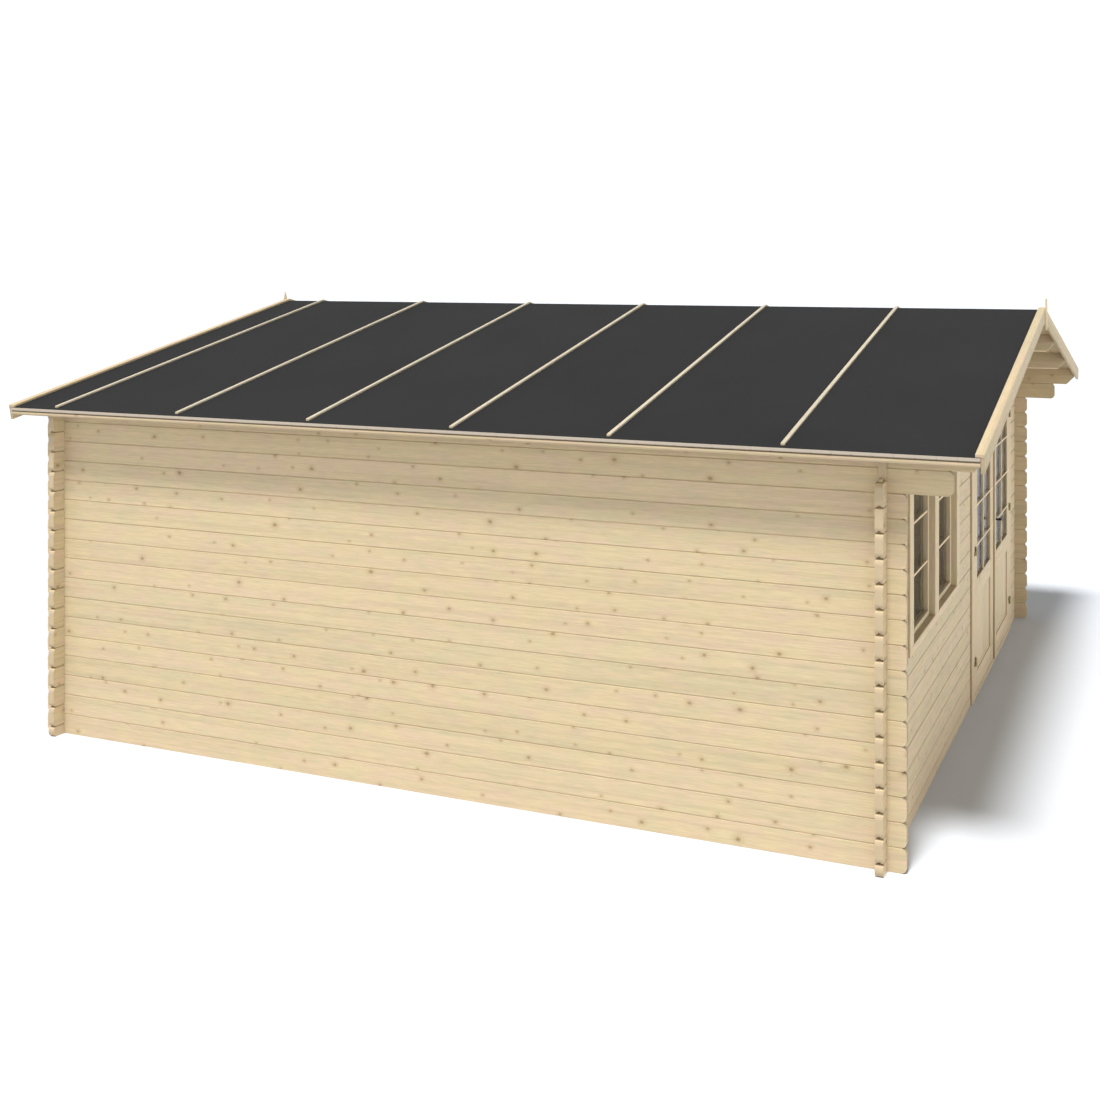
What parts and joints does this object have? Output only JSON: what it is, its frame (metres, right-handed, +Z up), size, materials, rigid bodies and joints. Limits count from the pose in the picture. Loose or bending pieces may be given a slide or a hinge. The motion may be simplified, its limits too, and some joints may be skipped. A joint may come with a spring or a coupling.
{
  "type": "log cabin",
  "caption": "Gabled timber garden cabin of interlocking machined logs, with a low felted roof, front overhang, glazed double door and a divided window.",
  "frame": {"origin": "on the ground under the middle of the building's box", "axes": "+X across the gable to the right seen from the front, -Y out of the front with the door, +Z up"},
  "size_m": [5.954, 5.813, 2.6943],
  "materials": {
    "wall_log": "planed untreated spruce",
    "joinery": "planed untreated spruce",
    "glass": "clear",
    "hinge_brass": "satin",
    "black_metal": "satin black",
    "roof_timber": "planed untreated spruce",
    "felt": "matt mineral felt",
    "felt_batten": "planed untreated spruce",
    "trim_board": "planed untreated spruce"
  },
  "bodies": {
    "cabin": {"left_wall_logs_odd": "wall_log", "left_wall_logs_even": "wall_log", "right_wall_logs_odd": "wall_log", "right_wall_logs_even": "wall_log", "rear_wall_logs_odd": "wall_log", "rear_wall_logs_even": "wall_log", "front_left_logs_odd": "wall_log", "front_left_logs_even": "wall_log", "front_right_logs_odd": "wall_log", "front_right_logs_even": "wall_log", "front_gable_logs_odd": "wall_log", "front_gable_logs_even": "wall_log", "window_posts": "joinery", "window_rails": "joinery", "window_sash_stiles": "joinery", "window_sash_rails": "joinery", "door_posts": "joinery", "door_head": "joinery", "door_threshold": "joinery", "window_glass": "glass", "hinge_pins": "hinge_brass", "ridge_purlin": "roof_timber", "side_purlins": "roof_timber", "left_roof_deck": "roof_timber", "right_roof_deck": "roof_timber", "left_roof_felt": "felt", "right_roof_felt": "felt", "left_felt_battens": "felt_batten", "right_felt_battens": "felt_batten", "eave_battens": "trim_board", "left_bargeboards": "trim_board", "right_bargeboards": "trim_board", "finials": "trim_board"},
    "left_door": {"left_door_stiles": "joinery", "left_door_rails": "joinery", "left_door_panel": "joinery", "left_door_glass": "glass", "left_hinge_knuckles": "hinge_brass"},
    "right_door": {"right_door_stiles": "joinery", "right_door_rails": "joinery", "right_door_panel": "joinery", "right_door_glass": "glass", "right_hinge_knuckles": "hinge_brass", "door_handles": "black_metal"}
  },
  "joints": [
    {"name": "left_door_swing", "type": "hinge", "parent": "cabin", "child": "left_door", "pos_m": [0.2205, -2.4365, 0.98], "axis": [0, 0, -1], "range_deg": [0, 105]},
    {"name": "right_door_swing", "type": "hinge", "parent": "cabin", "child": "right_door", "pos_m": [2.1735, -2.4365, 0.98], "axis": [0, 0, 1], "range_deg": [0, 105]}
  ]
}
